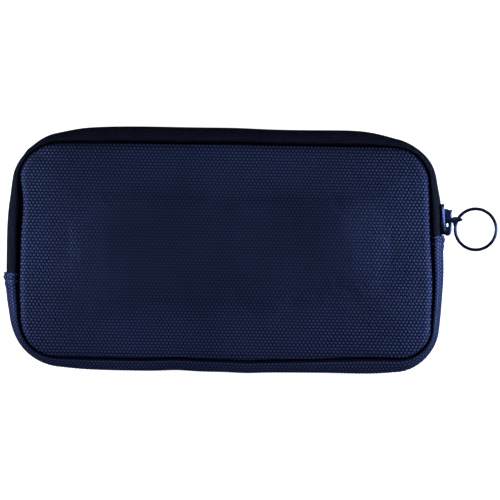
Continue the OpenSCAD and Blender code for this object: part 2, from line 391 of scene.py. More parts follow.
seam = {
    "wide": halfWide + 0.0009,
    "top": halfTall - 0.0017,
    "bottom": halfTall + 0.0004,
    "corners": {"topRight": 0.018, "topLeft": 0.019, "bottomLeft": 0.0215, "bottomRight": 0.017},
    "spacing": 0.0004,
    # (x, y, how far the seam stands out there, over what length)
    "drift": [
        (0.107, -0.020, 0.0015, 0.022),
        (-0.0990, 0.0500, -0.0012, 0.013),
        (-0.1010, 0.0465, 0.0004, 0.0022),
        (0.098, 0.050, -0.0013, 0.012),
        (0.106, 0.042, -0.0010, 0.012),
        (-0.107, 0.036, 0.0009, 0.010),
        (-0.107, -0.040, -0.0008, 0.012),
        (0.080, -0.057, -0.0022, 0.034),
        (-0.024, -0.057, -0.0006, 0.009),
        (0.012, -0.057, 0.0004, 0.008),
        (-0.074, 0.055, -0.0005, 0.020),
        (0.004, 0.055, 0.0004, 0.016),
    ],
    # the same, where the side band makes up for it and the outline stays as it is
    "slant": [
        (0.109, 0.026, -0.0011, 0.020),
        (0.109, -0.002, -0.0003, 0.015),
        (0.107, -0.042, 0.0008, 0.009),
        (-0.109, 0.023, -0.0020, 0.016),
        (-0.109, -0.005, -0.0008, 0.014),
        (-0.107, -0.033, -0.0007, 0.018),
    ],
}


def seamLine():
    wide, top, bottom = seam["wide"], seam["top"], seam["bottom"]
    corners = seam["corners"]
    turns = [
        (wide, top, corners["topRight"], 0),
        (-wide, top, corners["topLeft"], 90),
        (-wide, -bottom, corners["bottomLeft"], 180),
        (wide, -bottom, corners["bottomRight"], 270),
    ]
    points = [(wide, 0)]
    for x, y, radius, start in turns:
        centre = (x - math.copysign(radius, x), y - math.copysign(radius, y))
        for angle in np.radians(np.linspace(start, start + 90, 40)):
            points.append((centre[0] + radius * math.cos(angle), centre[1] + radius * math.sin(angle)))
    points.append((wide, 0))
    return np.array(points)


def evenly(points, spacing):
    lengths = np.r_[0, np.cumsum(np.linalg.norm(np.diff(points, axis=0), axis=1))]
    count = int(lengths[-1] / spacing)
    places = np.linspace(0, lengths[-1], count, endpoint=False)
    return np.stack([np.interp(places, lengths, points[:, k]) for k in range(points.shape[1])], 1)


def outwardOf(points):
    along = np.roll(points, -1, axis=0) - np.roll(points, 1, axis=0)
    along /= np.linalg.norm(along, axis=1)[:, None]
    return np.stack([along[:, 1], -along[:, 0]], 1)


seamPoints = evenly(seamLine(), seam["spacing"])
seamOut = outwardOf(seamPoints)
for x, y, amount, spread in seam["drift"] + seam["slant"]:
    gap = np.linalg.norm(seamPoints - (x, y), axis=1)
    seamPoints = seamPoints + seamOut * (amount * np.exp(-(gap / spread) ** 2))[:, None]
seamOut = outwardOf(seamPoints)
seamStep = np.linalg.norm(np.roll(seamPoints, -1, axis=0) - seamPoints, axis=1)
seamPlace = np.r_[0, np.cumsum(seamStep)]
seamLength = seamPlace[-1]


def placeNear(x, y):
    # distance along the seam, anticlockwise from the middle of the right-hand side
    return seamPlace[np.argmin(np.linalg.norm(seamPoints - (x, y), axis=1))]


def onSeam(places, values):
    wrapped = np.mod(places, seamLength)
    closed = np.vstack([values, values[:1]])
    return np.stack([np.interp(wrapped, seamPlace, closed[:, k]) for k in range(closed.shape[1])], 1)


# the side band's bulge

band = {
    "top": 0.0086, "right": 0.0054, "left": 0.0065, "bottom": 0.0058,
    "groove": 0.0004, "grooveDeep": 0.0024, "grooveWide": 13.0,
    "high": seamHalf + 0.0003, "liftUp": 0.35, "mapRadius": 0.0072,
    # painted shade: where and how wide the seam groove's painted shade reaches on the tape
    "shadeWidestNear": (-0.107, 0.024), "shade": 16.0, "shadeMore": 30.0, "shadeLong": 0.026,
    # (x, y, how far the band is pulled in there, over what length)
    "pulls": [
        (-0.104, 0.052, 0.0018, 0.013),
        (-0.088, 0.057, 0.0010, 0.010),
        (-0.100, 0.052, 0.0026, 0.022),
        (-0.107, 0.036, 0.0015, 0.014),
        (0.100, 0.053, 0.0004, 0.010),
        (0.108, 0.036, 0.0011, 0.010),
        (0.093, 0.055, 0.0040, 0.016),
        (0.030, 0.055, 0.0007, 0.042),
        (-0.100, -0.053, 0.0024, 0.021),
        (-0.108, -0.038, 0.0008, 0.014),
        (0.103, -0.051, 0.0020, 0.018),
        (0.109, -0.024, 0.0008, 0.012),
        (0.080, -0.056, -0.0021, 0.028),
    ],
}


def bulgeAlong(places):
    out = onSeam(places, seamOut)
    spot = onSeam(places, seamPoints)
    across = np.clip(out, 0, 1) ** 2 @ np.array([band["right"], band["top"]])
    across += np.clip(-out, 0, 1) ** 2 @ np.array([band["left"], band["bottom"]])
    for x, y, amount, spread in band["pulls"] + seam["slant"]:
        gap = np.linalg.norm(spot - (x, y), axis=1)
        across -= amount * np.exp(-(gap / spread) ** 2)
    return across


def shadeWide(places):
    # painted shade: the near black painted along the tape by the seam groove is widest beside the upper left
    # corner
    gap = np.linalg.norm(onSeam(places.ravel(), seamPoints) - band["shadeWidestNear"], axis=1).reshape(places.shape)
    return band["shade"] + band["shadeMore"] * np.exp(-(gap / band["shadeLong"]) ** 2)


def bandPoints(places, angles, lift=0.0):
    # angle is 90 degrees at the front seam, 0 at the widest line and -90 at the back seam
    places, angles, lift = np.broadcast_arrays(places, angles, lift)
    shape = places.shape
    places, angles, lift = places.ravel(), angles.ravel(), lift.ravel()
    out = onSeam(places, seamOut)
    spot = onSeam(places, seamPoints)
    reach = (bulgeAlong(places) + band["groove"] + lift) * np.cos(angles) - band["groove"]
    height = (band["high"] + band["liftUp"] * lift) * np.sin(angles)
    dip = np.exp(-((90 - abs(np.degrees(angles))) / band["grooveWide"]) ** 2)
    height = midZ + height - np.sign(angles) * band["grooveDeep"] * dip
    points = np.c_[spot + out * reach[:, None], height]
    return points.reshape(shape + (3,))


# raised fabric: a lattice of nubs that is laid over any surface

nubs = {"pitch": 0.00192, "row": 0.0016, "high": 0.00042, "round": 0.56, "shoulder": 0.78, "pressed": 0.5}


def nubLattice(low, high):
    # flat lattice over a rectangle: points, nub relief and painted gap shade from 0 to 1, triangles
    pitch, row = nubs["pitch"], nubs["row"]
    columns = int((high[0] - low[0]) / pitch) + 4
    rows = int((high[1] - low[1]) / row) + 4
    j, i = np.meshgrid(np.arange(rows), np.arange(columns), indexing="ij")
    x = low[0] - pitch + (i + 0.5 * (j % 2)) * pitch
    y = low[1] - row + j * row
    centres = np.stack([x, y], -1)
    upper = centres + (pitch / 2, row / 3)
    lower = centres + (pitch / 2, -row / 3)
    count = rows * columns
    index = np.arange(count).reshape(rows, columns)
    inner = (slice(1, -1), slice(1, -1))
    odd = (j[inner] % 2).astype(int)
    jj, ii = j[inner], i[inner]
    shift = ii - 1 + odd
    corner = np.stack([
        2 * count + index[jj, ii],
        count + index[jj, ii],
        2 * count + index[jj + 1, shift],
        count + index[jj, ii - 1],
        2 * count + index[jj, ii - 1],
        count + index[jj - 1, shift],
    ], -1).reshape(-1, 6)
    shared = np.concatenate([centres.reshape(-1, 2), upper.reshape(-1, 2), lower.reshape(-1, 2)])
    middle = index[jj, ii].ravel()
    ring = shared[middle][:, None] + (shared[corner] - shared[middle][:, None]) * nubs["round"]
    ringIndex = 3 * count + np.arange(len(middle) * 6).reshape(-1, 6)
    points = np.concatenate([shared, ring.reshape(-1, 2)])
    reliefAndShade = np.zeros(len(points))
    reliefAndShade[:count] = 1.0
    reliefAndShade[3 * count:] = nubs["shoulder"]
    faces = []
    for k in range(6):
        after = (k + 1) % 6
        faces.append(np.stack([middle, ringIndex[:, k], ringIndex[:, after]], 1))
        faces.append(np.stack([ringIndex[:, k], corner[:, k], corner[:, after]], 1))
        faces.append(np.stack([ringIndex[:, k], corner[:, after], ringIndex[:, after]], 1))
    return points, reliefAndShade, np.stack(faces, 1), middle


def compact(points, reliefAndShade, faces):
    used = np.unique(faces)
    renumber = np.full(len(points), -1)
    renumber[used] = np.arange(len(used))
    return points[used], reliefAndShade[used], renumber[faces]


# the padded panels

panel = {
    "edgeRise": 0.0052, "edgeWide": 0.0062,
    "frontDome": 0.0027, "backDome": 0.0020, "domeWide": 0.016,
    "edgeHeight": 0.0056,
    "fill": 0.7,
    # the nub rows lean towards the right-hand end, and the nubs are pressed flat in the middle
    "lean": 0.087, "leanFrom": 0.02, "leanTo": 0.095,
    "pressFrom": 0.006, "pressTo": 0.046, "pressedRelief": 0.46,
    # (x, y, depth, width) of the shallow dents beside the seam
    "dents": [
        (-0.019, -0.0545, 0.0011, 0.0045),
        (0.022, -0.0535, 0.0009, 0.0050),
        (0.034, -0.0530, 0.0006, 0.0045),
        (-0.095, 0.0475, 0.0008, 0.0035),
        (0.060, 0.0520, 0.0004, 0.0060),
    ],
}


seamTree = KDTree(len(seamPoints))
for index, (x, y) in enumerate(seamPoints):
    seamTree.insert((x, y, 0), index)
seamTree.balance()


def fromSeam(points):
    # distance inside the seam line, the nearest seam point, and whether a point is inside
    found = [seamTree.find((x, y, 0)) for x, y in points]
    nearest = np.array([f[1] for f in found])
    distance = np.array([f[2] for f in found])
    inside = ((points - seamPoints[nearest]) * seamOut[nearest]).sum(1) < 0
    return distance, nearest, inside


def crown(distance, dome):
    # height of a panel above its seam
    edge = 1 - np.clip(distance / panel["edgeWide"], 0, 1)
    rise = panel["edgeRise"] * np.sqrt(1 - edge ** 2)
    return rise + dome * (1 - np.exp(-distance / panel["domeWide"]))


def panelHeight(points, distance, dome, puff, dents):
    height = crown(np.maximum(distance, 0), dome)
    for x, y, depth, width in dents:
        gap = np.linalg.norm((points - (x, y)) / (1.6, 1.0), axis=1)
        height -= depth * np.exp(-(gap / width) ** 2) * smoothStep(distance, 0, 0.002)
    if puff is not None:
        height += puff(points) * smoothStep(distance, 0.0005, 0.006)
    return height


def padPanel(name, front, puff):
    dome = panel["frontDome"] if front else panel["backDome"]
    dents = panel["dents"] if front else []
    low = seamPoints.min(0) - 0.004
    high = seamPoints.max(0) + 0.004
    points, reliefAndShade, faces, middle = nubLattice(low, high)
    slant = panel["lean"] * smoothStep(points[:, 0], panel["leanFrom"], panel["leanTo"])
    points[:, 0] -= slant * points[:, 1]
    keepDistance, _, keepInside = fromSeam(points[middle])
    keep = keepInside | (keepDistance < 0.001)
    points, reliefAndShade, faces = compact(points, reliefAndShade, faces[keep].reshape(-1, 3))
    distance, nearest, inside = fromSeam(points)
    points[~inside] = seamPoints[nearest[~inside]]
    reliefAndShade[~inside] = 0
    distance[~inside] = 0
    out = (points - seamPoints[nearest]) / np.maximum(distance, 0.0001)[:, None]
    height = panelHeight(points, distance, dome, puff, dents)
    nudge = 0.0002
    slopes = []
    for k, shift in enumerate(((nudge, 0), (0, nudge))):
        beside = panelHeight(points + shift, distance + out[:, k] * nudge, dome, puff, dents)
        slopes.append((beside - height) / nudge)
    normal = np.stack([-slopes[0], -slopes[1], np.ones(len(points))], 1)
    normal /= np.linalg.norm(normal, axis=1)[:, None]
    # relief sets both the nub height and the painted gap shade: pressing the nubs flat in the middle also
    # evens out their painted shade, and at the seam it falls to 0, the darkest painted shade
    pressed = 1 - nubs["pressed"] * smoothStep(distance, panel["pressFrom"], panel["pressTo"])
    level = panel["pressedRelief"]
    reliefAndShade = (level + (reliefAndShade - level) * pressed) * smoothStep(distance, 0.0001, 0.0008)
    full = np.c_[points, height] + normal * (reliefAndShade * nubs["high"])[:, None]
    full[:, 2] += midZ + panel["edgeHeight"]
    if not front:
        full[:, 2] = np.maximum(topZ - full[:, 2], 0)
        faces = faces[:, ::-1]
    made = makeMesh(name, full, faces, outerFabric)
    addAttribute(made, "reliefAndShade", reliefAndShade)
    # painted shade: "open" is 0 at the seam, where the colour is painted near black
    addAttribute(made, "open", smoothStep(distance, 0.0002, 0.0012))
    return made


def coarsePanel(spacing, inset=0.0):
    # a plain lattice of points inside the seam, its outer ones drawn onto the seam
    high = seamPoints.max(0)
    x = np.arange(-high[0] - spacing, high[0] + spacing * 2, spacing)
    y = np.arange(-high[1] - spacing, high[1] + spacing * 2, spacing)
    points = np.stack(np.meshgrid(x, y), -1).reshape(-1, 2)
    faces = gridFaces(len(y), len(x))
    distance, nearest, inside = fromSeam(points)
    outside = ~inside | (distance < inset)
    target = seamPoints[nearest] - seamOut[nearest] * inset
    points[outside] = target[outside]
    solid = (~outside)[faces].any(1)
    used = np.unique(faces[solid])
    renumber = np.full(len(points), -1)
    renumber[used] = np.arange(len(used))
    return points[used], renumber[faces[solid]]


puffing = {
    "spacing": 0.0034, "weld": 0.0005, "pinned": 0.0006,
    "pressure": 4.0, "slack": -0.012, "frames": 20, "cap": 0.0012,
    "quality": 6, "mass": 0.25, "stretch": 18, "shear": 8, "bend": 0.4,
    "level": 0.015, "sample": 0.002,
}


def puffPanel(dome):
    # blows up a cloth panel that is held along the seam and returns how it departs from a plain crown
    points, faces = coarsePanel(puffing["spacing"])
    distance, _, _ = fromSeam(points)
    start = crown(distance, dome)
    cloth = makeMesh("puffCloth", np.c_[points, start], faces, outerFabric)
    bm = bmesh.new()
    bm.from_mesh(cloth.data)
    bmesh.ops.remove_doubles(bm, verts=bm.verts, dist=puffing["weld"])
    bm.to_mesh(cloth.data)
    bm.free()
    pins = cloth.vertex_groups.new(name="pins")
    spots = np.array([v.co for v in cloth.data.vertices])
    edge, _, _ = fromSeam(spots[:, :2])
    for k in np.nonzero(edge < puffing["pinned"])[0]:
        pins.add([int(k)], 1.0, "REPLACE")
    modifier = cloth.modifiers.new("cloth", "CLOTH")
    settings = modifier.settings
    settings.quality = puffing["quality"]
    settings.mass = puffing["mass"]
    settings.tension_stiffness = puffing["stretch"]
    settings.compression_stiffness = puffing["stretch"]
    settings.shear_stiffness = puffing["shear"]
    settings.bending_stiffness = puffing["bend"]
    settings.use_pressure = True
    settings.uniform_pressure_force = puffing["pressure"]
    settings.vertex_group_mass = "pins"
    settings.shrink_min = puffing["slack"]
    settings.effector_weights.gravity = 0
    modifier.point_cache.frame_start = 1
    modifier.point_cache.frame_end = puffing["frames"]
    scene = bpy.context.scene
    for step in range(1, puffing["frames"] + 1):
        scene.frame_set(step)
    blown = bpy.data.meshes.new_from_object(cloth.evaluated_get(bpy.context.evaluated_depsgraph_get()))
    scene.frame_set(1)
    puffed = np.array([v.co for v in blown.vertices])
    change = puffed[:, 2] - spots[:, 2]
    change -= np.median(change[edge > puffing["level"]])
    change = np.clip(change, -puffing["cap"], puffing["cap"])
    tree = BVHTree.FromPolygons([(p[0], p[1], c) for p, c in zip(spots, change)],
                                [tuple(p.vertices) for p in blown.polygons])
    bpy.data.objects.remove(cloth)
    step = puffing["sample"]
    margin = 3 * step
    x = np.arange(-halfWide - margin, halfWide + margin, step)
    y = np.arange(-halfTall - margin, halfTall + margin, step)
    table = np.zeros((len(y), len(x)))
    for b, yy in enumerate(y):
        for a, xx in enumerate(x):
            hit = tree.ray_cast(Vector((xx, yy, 1)), Vector((0, 0, -1)))
            if hit[0] is not None:
                table[b, a] = hit[0].z

    def puff(places):
        u = np.clip((places[:, 0] - x[0]) / step, 0, len(x) - 1.001)
        v = np.clip((places[:, 1] - y[0]) / step, 0, len(y) - 1.001)
        a, b = u.astype(int), v.astype(int)
        fu, fv = smoothStep(u - a, 0, 1), smoothStep(v - b, 0, 1)
        top = table[b, a] * (1 - fu) + table[b, a + 1] * fu
        bottom = table[b + 1, a] * (1 - fu) + table[b + 1, a + 1] * fu
        return top * (1 - fv) + bottom * fv

    return puff


frontPuff = puffPanel(panel["frontDome"])
backPuff = puffPanel(panel["backDome"])
print("panels puffed")

frontPad = padPanel("frontPad", True, frontPuff)
attach(frontPad, "outer_fabric", "fold",
       "front_panel_base", "front_panel_flap", "front_foam_base", "front_foam_flap")

backPad = padPanel("backPad", False, backPuff)
attach(backPad, "outer_fabric", "case", "back_panel", "back_foam")
print("panels")


# lining sheets inside the panels

lining = {"spacing": 0.004, "inset": 0.0004, "thick": 0.0005, "wave": 0.0002, "waves": (190, 60, 210)}


def liningSheet(name, node, front):
    low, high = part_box(node)
    points, faces = coarsePanel(lining["spacing"], lining["inset"])
    along, lean, across = lining["waves"]
    ripple = np.sin(points[:, 0] * along + points[:, 1] * lean) * np.sin(points[:, 1] * across)
    level = low.z if front else high.z
    made = makeMesh(name, np.c_[points, level + lining["wave"] * ripple], faces, liningCloth)
    if front:
        made.data.flip_normals()
    addMap(made, points)
    return thicken(made, lining["thick"])


frontLining = liningSheet("frontLining", "front_lining_base", True)
attach(frontLining, "lining", "fold", "front_lining_base", "front_lining_flap")
backLining = liningSheet("backLining", "back_lining", False)
attach(backLining, "lining", "case", "back_lining")


# gusset strip with its turned-over ends

strip = {
    "lift": 0.0005, "fold": 0.0011, "foldLength": 0.0046, "seamRow": 0.0013, "flare": 0.0095, "around": 0.021,
    "rowDip": 0.0005, "foldDip": 0.0006, "tip": 0.0010, "liningThick": 0.0004, "liningIn": -0.0011,
    "flatWide": 0.0195,
}

stripStart = placeNear(-halfWide, hemLeft)
stripFinish = seamLength + hemRight


def foldLift(fromEnd):
    # the turned-over end stands proud, with a dip behind its bead and another at the stitch row
    hump = 1 - smoothStep(fromEnd, strip["foldLength"] - 0.0016, strip["flare"])
    dips = strip["rowDip"] * np.exp(-((fromEnd - strip["seamRow"]) / 0.0005) ** 2)
    dips += strip["foldDip"] * np.exp(-((fromEnd - strip["foldLength"]) / 0.0007) ** 2)
    tip = np.sqrt(1 - np.clip(1 - fromEnd / strip["tip"], 0, 1) ** 2)
    return (strip["lift"] + strip["fold"] * hump - dips) * tip


def gussetStrip():
    length = stripFinish - stripStart
    half = strip["around"] / 2
    points, reliefAndShade, faces, middle = nubLattice((-0.002, -half - 0.002), (length + 0.002, half + 0.002))
    spot = points[middle]
    keep = (spot[:, 0] > -0.0005) & (spot[:, 0] < length + 0.0005) & (abs(spot[:, 1]) < half + 0.0004)
    points, reliefAndShade, faces = compact(points, reliefAndShade, faces[keep].reshape(-1, 3))
    along = np.clip(points[:, 0], 0, length)
    across = np.clip(points[:, 1], -half, half)
    fromEnd = np.minimum(along, length - along)
    edge = half - abs(across)
    reliefAndShade = reliefAndShade * smoothStep(edge, 0.0001, 0.0008) * smoothStep(fromEnd, 0, 0.0005)
    lift = foldLift(fromEnd) + reliefAndShade * nubs["high"]
    angles = across / half * math.pi / 2
    full = bandPoints(stripStart + along, angles, lift)
    made = makeMesh("gussetStrip", full, faces, outerFabric)
    # painted shade: relief and "open" fall to 0 along the strip's edges, where the colour is painted near
    # black
    addAttribute(made, "reliefAndShade", reliefAndShade)
    addAttribute(made, "open", smoothStep(edge, 0.0002, 0.0022))
    return made


gusset = gussetStrip()
attach(gusset, "outer_fabric", "case", "gusset_strip", "strip_hem_right", "strip_hem_left")


def bandSheet(name, start, finish, low, high, lift, material, thick, spacing=0.001, steps=14):
    # a plain layer of the side band; low and high are its edges, in degrees across the band
    places = np.linspace(start, finish, int((finish - start) / spacing) + 1)
    low = low(places) if callable(low) else np.full(len(places), float(low))
    high = high(places) if callable(high) else np.full(len(places), float(high))
    share = np.linspace(0, 1, steps)
    angles = np.radians(low[:, None] * (1 - share) + high[:, None] * share)
    rise = lift(np.degrees(angles)) if callable(lift) else lift
    points = bandPoints(places[:, None], angles, rise)
    made = makeMesh(name, points.reshape(-1, 3), gridFaces(len(places), steps)[:, ::-1], material)
    along = np.broadcast_to(places[:, None], angles.shape)
    addMap(made, np.stack([along.ravel(), (angles * band["mapRadius"]).ravel()], 1))
    # painted shade: "open" is 0 down in the seam groove, painted near black as shade across the width that
    # shadeWide gives
    addAttribute(made, "open", smoothStep(90 - abs(np.degrees(angles)), 4, shadeWide(along)).ravel())
    return thicken(made, thick)


gussetLining = bandSheet("gussetLining", stripStart, stripFinish, -84, 84, strip["liningIn"],
                         liningCloth, strip["liningThick"])
attach(gussetLining, "lining", "case", "gusset_lining")
print("gusset")


# rows of small things along a path: coil loops and stitches

def pathObject(name, points):
    curve = bpy.data.curves.new(name, "CURVE")
    curve.dimensions = "3D"
    spline = curve.splines.new("POLY")
    spline.points.add(len(points) - 1)
    spline.points.foreach_set("co", np.c_[points, np.ones(len(points))].astype(np.float32).ravel())
    return newObject(name, curve)


def sizeSocket(tree, name, default):
    socket = tree.interface.new_socket(name, in_out="INPUT", socket_type="NodeSocketFloat")
    socket.default_value = default
    return socket


def rowTree(name, kind, material):
    # one small thing every Pitch along a curve; its sizes are the tree's inputs
    tree = bpy.data.node_groups.new(name, "GeometryNodeTree")
    tree.is_modifier = True
    tree.interface.new_socket("Geometry", in_out="INPUT", socket_type="NodeSocketGeometry")
    tree.interface.new_socket("Geometry", in_out="OUTPUT", socket_type="NodeSocketGeometry")
    for size in ("Pitch", "Wide", "High", "Wire"):
        sizeSocket(tree, size, 0.001)
    nodes, links = tree.nodes, tree.links
    source = nodes.new("NodeGroupInput")
    result = nodes.new("NodeGroupOutput")
    points = nodes.new("GeometryNodeCurveToPoints")
    points.mode = "LENGTH"
    links.new(source.outputs["Geometry"], points.inputs["Curve"])
    links.new(source.outputs["Pitch"], points.inputs["Length"])
    size = nodes.new("ShaderNodeCombineXYZ")
    links.new(source.outputs["Wide"], size.inputs["X"])
    links.new(source.outputs["High"], size.inputs["Y"])
    place = nodes.new("GeometryNodeInstanceOnPoints")
    links.new(points.outputs["Points"], place.inputs["Points"])
    links.new(points.outputs["Rotation"], place.inputs["Rotation"])
    if kind == "loop":
        size.inputs["Z"].default_value = 1.0
        ring = addNode(nodes, "GeometryNodeCurvePrimitiveCircle", Resolution=10, Radius=0.5)
        shape = nodes.new("GeometryNodeTransform")
        links.new(ring.outputs["Curve"], shape.inputs["Geometry"])
        links.new(size.outputs["Vector"], shape.inputs["Scale"])
        shape.inputs["Rotation"].default_value = (math.radians(9), 0, 0)
        wire = addNode(nodes, "GeometryNodeCurvePrimitiveCircle", Resolution=5)
        links.new(source.outputs["Wire"], wire.inputs["Radius"])
        sweep = nodes.new("GeometryNodeCurveToMesh")
        links.new(shape.outputs["Geometry"], sweep.inputs["Curve"])
        links.new(wire.outputs["Curve"], sweep.inputs["Profile Curve"])
        links.new(sweep.outputs["Mesh"], place.inputs["Instance"])
    else:
        links.new(source.outputs["Wire"], size.inputs["Z"])
        grain = nodes.new("GeometryNodeMeshUVSphere")
        grain.inputs["Segments"].default_value = 6
        grain.inputs["Rings"].default_value = 4
        grain.inputs["Radius"].default_value = 0.5
        shape = nodes.new("GeometryNodeTransform")
        links.new(grain.outputs["Mesh"], shape.inputs["Geometry"])
        links.new(size.outputs["Vector"], shape.inputs["Scale"])
        links.new(shape.outputs["Geometry"], place.inputs["Instance"])
        vary = addNode(nodes, "FunctionNodeRandomValue", data_type="FLOAT", Seed=7)
        vary.inputs[2].default_value = 0.9
        vary.inputs[3].default_value = 1.08
        links.new(vary.outputs[1], place.inputs["Scale"])
    real = nodes.new("GeometryNodeRealizeInstances")
    links.new(place.outputs["Instances"], real.inputs["Geometry"])
    smooth = nodes.new("GeometryNodeSetShadeSmooth")
    links.new(real.outputs["Geometry"], smooth.inputs["Geometry"])
    finish = addNode(nodes, "GeometryNodeSetMaterial", Material=material)
    links.new(smooth.outputs["Geometry"], finish.inputs["Geometry"])
    links.new(finish.outputs["Geometry"], result.inputs["Geometry"])
    return tree


coilTree = rowTree("coilRow", "loop", coilNylon)
stitchTree = rowTree("stitchRow", "stitch", thread)


def growRow(name, tree, path, sizes, material=None):
    # path is a list of point rows; each becomes a row of the tree's small things in one mesh
    parts = []
    for points in path:
        base = pathObject(name + "Path", points)
        rows = base.modifiers.new("rows", "NODES")
        rows.node_group = tree
        for socket in tree.interface.items_tree:
            if socket.item_type == "SOCKET" and socket.in_out == "INPUT" and socket.name in sizes:
                rows[socket.identifier] = sizes[socket.name]
        bpy.context.view_layer.update()
        evaluated = base.evaluated_get(bpy.context.evaluated_depsgraph_get())
        parts.append(bpy.data.meshes.new_from_object(evaluated))
        bpy.data.objects.remove(base)
    joined = bmesh.new()
    for part in parts:
        joined.from_mesh(part)
    mesh = bpy.data.meshes.new(name)
    joined.to_mesh(mesh)
    joined.free()
    mesh.materials.clear()
    mesh.materials.append(material or tree.nodes["Set Material"].inputs["Material"].default_value)
    mesh.polygons.foreach_set("material_index", np.zeros(len(mesh.polygons), np.int32))
    return newObject(name, mesh)


stitch = {"Pitch": 0.0024, "Wide": 0.00045, "High": 0.00045, "Wire": 0.0020}


# zip tapes and coils

zipper = {"tapeEnd": 0.008, "flatWide": 0.0127, "split": 1.2, "parted": 7.5, "thick": 0.0006,
          "rise": 0.0003, "ridge": 0.00022, "ridgeAt": 25.0, "ridgeWide": 4.0,
          "loop": {"Pitch": 0.00135, "Wide": 0.0021, "High": 0.0030, "Wire": 0.00036},
          "loopDeep": -0.0021, "loopAt": 13.2, "loopOut": 0.0011,
          "stitch": {"Pitch": 0.0019, "Wide": 0.00026, "High": 0.00026, "Wire": 0.0016}}

tapeStart = placeNear(halfWide, hemRight) - zipper["tapeEnd"]
if tapeStart > seamLength / 2:
    tapeStart -= seamLength
tapeFinish = stripStart + zipper["tapeEnd"]
sliderTop = placeNear(halfWide, sliderHigh.y + 0.019)


def splitAngle(places):
    # the tapes stand parted where the slider's post runs, and nearly meet everywhere else
    near = 1 - smoothStep(places, sliderTop - 0.002, sliderTop + 0.006)
    return zipper["split"] + (zipper["parted"] - zipper["split"]) * near


def tapeRise(degrees):
    ridge = np.exp(-((abs(degrees) - zipper["ridgeAt"]) / zipper["ridgeWide"]) ** 2)
    return zipper["rise"] + zipper["ridge"] * ridge


frontTape = bandSheet("frontTape", tapeStart, tapeFinish, splitAngle, 90, tapeRise,
                      tapeCloth, zipper["thick"], steps=20)
attach(frontTape, "zip_tape", "fold", "zip_tape_flap", "zip_tape_ends")
backTape = bandSheet("backTape", tapeStart, tapeFinish, -90, lambda places: -splitAngle(places), tapeRise,
                     tapeCloth, zipper["thick"], steps=20)
attach(backTape, "zip_tape", "case", "zip_tape_back")


def bandPath(start, finish, degrees, lift, spacing=0.001):
    places = np.linspace(start, finish, max(2, int((finish - start) / spacing)))
    return bandPoints(places, np.radians(degrees), lift)


coilStart = placeNear(halfWide, sliderLow.y + 0.0018)
coilFinish = stripStart + 0.004
for name, side, nodes in (("frontCoil", 1, ("zip_coil_flap", "zip_coil_end")),
                          ("backCoil", -1, ("zip_coil_back",))):
    row = bandPath(coilStart, coilFinish, side * zipper["loopAt"], zipper["loopDeep"])
    overSlider = smoothStep(row[:, 1], sliderHigh.y, sliderHigh.y + 0.006) * (row[:, 0] > 0.1)
    overSlider *= 1 - smoothStep(row[:, 1], sliderHigh.y + 0.019, sliderHigh.y + 0.025)
    row[:, 0] += zipper["loopOut"] * overSlider
    coil = growRow(name, coilTree, [row], zipper["loop"])
    attach(coil, "coil", "fold" if side > 0 else "case", *nodes)
for name, side in (("frontTapeStitches", 1), ("backTapeStitches", -1)):
    row = bandPath(tapeStart + 0.002, tapeFinish - 0.002, side * (zipper["ridgeAt"] + 6), 0.00002)
    sewn = growRow(name, stitchTree, [row], zipper["stitch"])
    attach(sewn, "zip_tape", "fold" if side > 0 else "case")
print("zip tapes and coils")


# stitching across the ends of the gusset

hemRows = []
for end, way in ((stripStart, 1), (stripFinish, -1)):
    for inset in (strip["seamRow"], strip["foldLength"]):
        angles = np.radians(np.linspace(-80, 80, 60))
        spots = np.full(60, end + way * inset)
        hemRows.append(bandPoints(spots, angles, foldLift(inset) + 0.0001))
hemStitches = growRow("hemStitches", stitchTree, hemRows, stitch, hemThread)
attach(hemStitches, "outer_fabric", "case")


# metal parts: castings with softened edges

def softened(name, shape, material, edge, segments, bevelFrom, sharpFrom):
    # a piece of the shape with its edges softened; both angles are in degrees
    mesh = bpy.data.meshes.new(name)
    shape.to_mesh(mesh)
    shape.free()
    mesh.materials.clear()
    mesh.materials.append(material)
    made = newObject(name, mesh)
    soften = made.modifiers.new("edges", "BEVEL")
    soften.width = edge
    soften.segments = segments
    soften.limit_method = "ANGLE"
    soften.angle_limit = math.radians(bevelFrom)
    bake(made)
    made.data.shade_smooth()
    made.data.set_sharp_from_angle(angle=math.radians(sharpFrom))
    return made


def softCopy(name, node, body, edge, material, slotName):
    shape = bmesh.new()
    shape.from_mesh(frame["nodes"][node].data)
    bmesh.ops.remove_doubles(shape, verts=shape.verts, dist=0.000002)
    bmesh.ops.dissolve_limit(shape, angle_limit=math.radians(0.6), verts=shape.verts, edges=shape.edges)
    made = softened(name, shape, material, edge, 2, 32, 50)
    attach(made, slotName, body, node)
    return made


def cutPlate(shape, outlines, low, high, upright):
    # a flat plate with the given outlines, the first one outside and the others holes;
    # upright plates lie in y and z between two x values, the rest in x and y between two z values
    edges = []
    for outline in outlines:
        turned = [(low, a, b) if upright else (a, b, low) for a, b in outline]
        corners = [shape.verts.new(spot) for spot in turned]
        edges += [shape.edges.new((corners[k], corners[k - 1])) for k in range(len(corners))]
    filled = bmesh.ops.triangle_fill(shape, use_beauty=True, use_dissolve=False, edges=edges)
    faces = [f for f in filled["geom"] if isinstance(f, bmesh.types.BMFace)]
    raised = bmesh.ops.extrude_face_region(shape, geom=faces)
    moved = [v for v in raised["geom"] if isinstance(v, bmesh.types.BMVert)]
    step = Vector((high - low, 0, 0)) if upright else Vector((0, 0, high - low))
    bmesh.ops.translate(shape, verts=moved, vec=step)


def rectangle(left, bottom, right, top):
    return [(left, bottom), (right, bottom), (right, top), (left, top)]


def disc(x, y, radius, corners):
    turn = np.linspace(0, 2 * math.pi, corners, endpoint=False)
    return [(x + radius * math.cos(t), y + radius * math.sin(t)) for t in turn]


